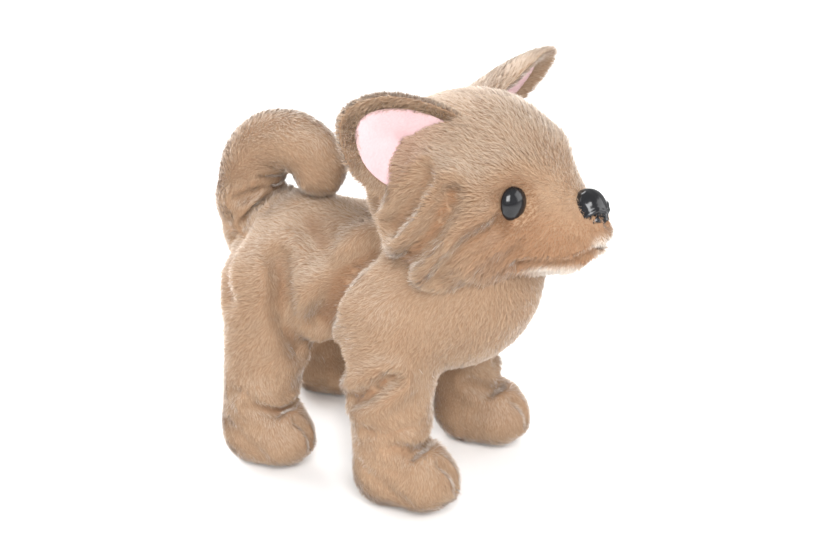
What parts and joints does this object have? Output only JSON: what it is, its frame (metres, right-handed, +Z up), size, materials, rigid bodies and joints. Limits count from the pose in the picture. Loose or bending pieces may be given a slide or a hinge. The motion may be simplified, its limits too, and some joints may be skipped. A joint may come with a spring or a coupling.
{
  "type": "walking plush puppy",
  "caption": "Battery driven plush puppy: geared walking legs, nodding head, wagging curled tail, belly battery door and slide switch under a short pile skin.",
  "frame": {"origin": "on the floor under the centre of the toy's bounding box", "axes": "+Z up, the dog faces -Y, its left side is +X"},
  "size_m": [0.1278, 0.2, 0.196],
  "materials": {
    "plush": "short pile plush",
    "ear_lining": "short nap lining",
    "wadding": "polyester fill",
    "gloss_black": "moulded, glossy",
    "washer_plastic": "moulded",
    "chassis_plastic": "moulded, fine texture",
    "leg_plastic": "moulded",
    "cover_plastic": "moulded, fine texture",
    "black_plastic": "moulded",
    "gear_plastic": "moulded, bare",
    "steel": "plated",
    "cell_wrap": "printed sleeve, plain",
    "board": "solder mask",
    "components": "moulded"
  },
  "bodies": {
    "torso": {"torso_skin": "plush", "chest_wadding": "wadding", "chassis_left_half": "chassis_plastic", "chassis_right_half": "chassis_plastic", "chassis_screws": "steel", "guide_pins": "steel", "leg_axles": "steel", "axle_caps": "steel", "battery_box": "chassis_plastic", "battery_cells": "cell_wrap", "battery_contacts": "steel", "switch_body": "black_plastic", "speaker": "black_plastic", "speaker_magnet": "steel", "control_board": "board", "board_components": "components", "motor": "steel", "gear_shafts": "steel", "neck_pin": "steel", "tail_pin": "steel"},
    "battery_door": {"battery_cover": "cover_plastic", "battery_cover_screw": "steel"},
    "switch_knob": {"switch_slider": "black_plastic"},
    "motor_rotor": {"motor_pinion": "gear_plastic"},
    "first_reduction": {"first_gear": "gear_plastic"},
    "second_reduction": {"second_gear": "gear_plastic"},
    "crank": {"crank_wheel": "gear_plastic", "crank_shaft": "steel", "crank_disc_left": "gear_plastic", "crank_disc_right": "gear_plastic"},
    "left_bar": {"drive_bar_left": "gear_plastic"},
    "right_bar": {"drive_bar_right": "gear_plastic"},
    "head": {"skull_left_half": "leg_plastic", "skull_right_half": "leg_plastic", "neck_yoke": "leg_plastic", "head_skin": "plush", "muzzle_wadding": "wadding", "left_eye": "gloss_black", "right_eye": "gloss_black", "nose": "gloss_black", "face_washers": "washer_plastic", "left_ear": "plush", "right_ear": "plush", "left_ear_lining": "ear_lining", "right_ear_lining": "ear_lining"},
    "tail": {"tail_lever": "leg_plastic", "tail_core": "chassis_plastic", "tail_skin": "plush"},
    "front_left_leg": {"front_left_leg_core": "leg_plastic", "front_left_leg_skin": "plush", "front_left_paw_wadding": "wadding"},
    "front_right_leg": {"front_right_leg_core": "leg_plastic", "front_right_leg_skin": "plush", "front_right_paw_wadding": "wadding"},
    "rear_left_leg": {"rear_left_leg_core": "leg_plastic", "rear_left_leg_skin": "plush", "rear_left_paw_wadding": "wadding"},
    "rear_right_leg": {"rear_right_leg_core": "leg_plastic", "rear_right_leg_skin": "plush", "rear_right_paw_wadding": "wadding"}
  },
  "joints": [
    {"name": "front_left_leg_swing", "type": "hinge", "parent": "torso", "child": "front_left_leg", "pos_m": [0.03, -0.014, 0.089], "axis": [1, 0, 0], "range_deg": [0, 18]},
    {"name": "front_right_leg_swing", "type": "hinge", "parent": "torso", "child": "front_right_leg", "pos_m": [-0.03, -0.014, 0.089], "axis": [1, 0, 0], "range_deg": [-18, 0]},
    {"name": "rear_left_leg_swing", "type": "hinge", "parent": "torso", "child": "rear_left_leg", "pos_m": [0.03, 0.055, 0.089], "axis": [1, 0, 0], "range_deg": [-18, 0]},
    {"name": "rear_right_leg_swing", "type": "hinge", "parent": "torso", "child": "rear_right_leg", "pos_m": [-0.03, 0.055, 0.089], "axis": [1, 0, 0], "range_deg": [0, 18]},
    {"name": "left_bar_slide", "type": "slide", "parent": "torso", "child": "left_bar", "axis": [0, -1, 0], "range_m": [0, 0.0032]},
    {"name": "right_bar_slide", "type": "slide", "parent": "torso", "child": "right_bar", "axis": [0, 1, 0], "range_m": [0, 0.0032]},
    {"name": "crank_spin", "type": "hinge", "parent": "torso", "child": "crank", "pos_m": [0, 0.0205, 0.098], "axis": [1, 0, 0], "continuous": true},
    {"name": "second_gear_spin", "type": "hinge", "parent": "torso", "child": "second_reduction", "pos_m": [0, 0.0061, 0.098], "axis": [1, 0, 0], "continuous": true},
    {"name": "first_gear_spin", "type": "hinge", "parent": "torso", "child": "first_reduction", "pos_m": [0, -0.0059, 0.098], "axis": [1, 0, 0], "continuous": true},
    {"name": "motor_spin", "type": "hinge", "parent": "torso", "child": "motor_rotor", "pos_m": [0, -0.01752, 0.101], "axis": [1, 0, 0], "continuous": true},
    {"name": "head_nod", "type": "hinge", "parent": "torso", "child": "head", "pos_m": [0, -0.031, 0.119], "axis": [1, 0, 0], "range_deg": [-8, 12]},
    {"name": "tail_wag", "type": "hinge", "parent": "torso", "child": "tail", "pos_m": [0, 0.066, 0.1], "axis": [0, 0, 1], "range_deg": [-22, 22]},
    {"name": "battery_door_slide", "type": "slide", "parent": "torso", "child": "battery_door", "axis": [0, 0, -1], "range_m": [0, 0.01]},
    {"name": "switch_slide", "type": "slide", "parent": "torso", "child": "switch_knob", "axis": [1, 0, 0], "range_m": [0, 0.003]}
  ],
  "couplings": [
    {"joint": "front_right_leg_swing", "follows": "front_left_leg_swing", "ratio": -1},
    {"joint": "rear_left_leg_swing", "follows": "front_left_leg_swing", "ratio": -1},
    {"joint": "rear_right_leg_swing", "follows": "front_left_leg_swing", "ratio": 1},
    {"joint": "left_bar_slide", "follows": "front_left_leg_swing", "m_per_rad": 0.00996},
    {"joint": "right_bar_slide", "follows": "front_left_leg_swing", "m_per_rad": 0.00996},
    {"joint": "second_gear_spin", "follows": "crank_spin", "ratio": -3},
    {"joint": "first_gear_spin", "follows": "crank_spin", "ratio": 9},
    {"joint": "motor_spin", "follows": "crank_spin", "ratio": -27}
  ]
}
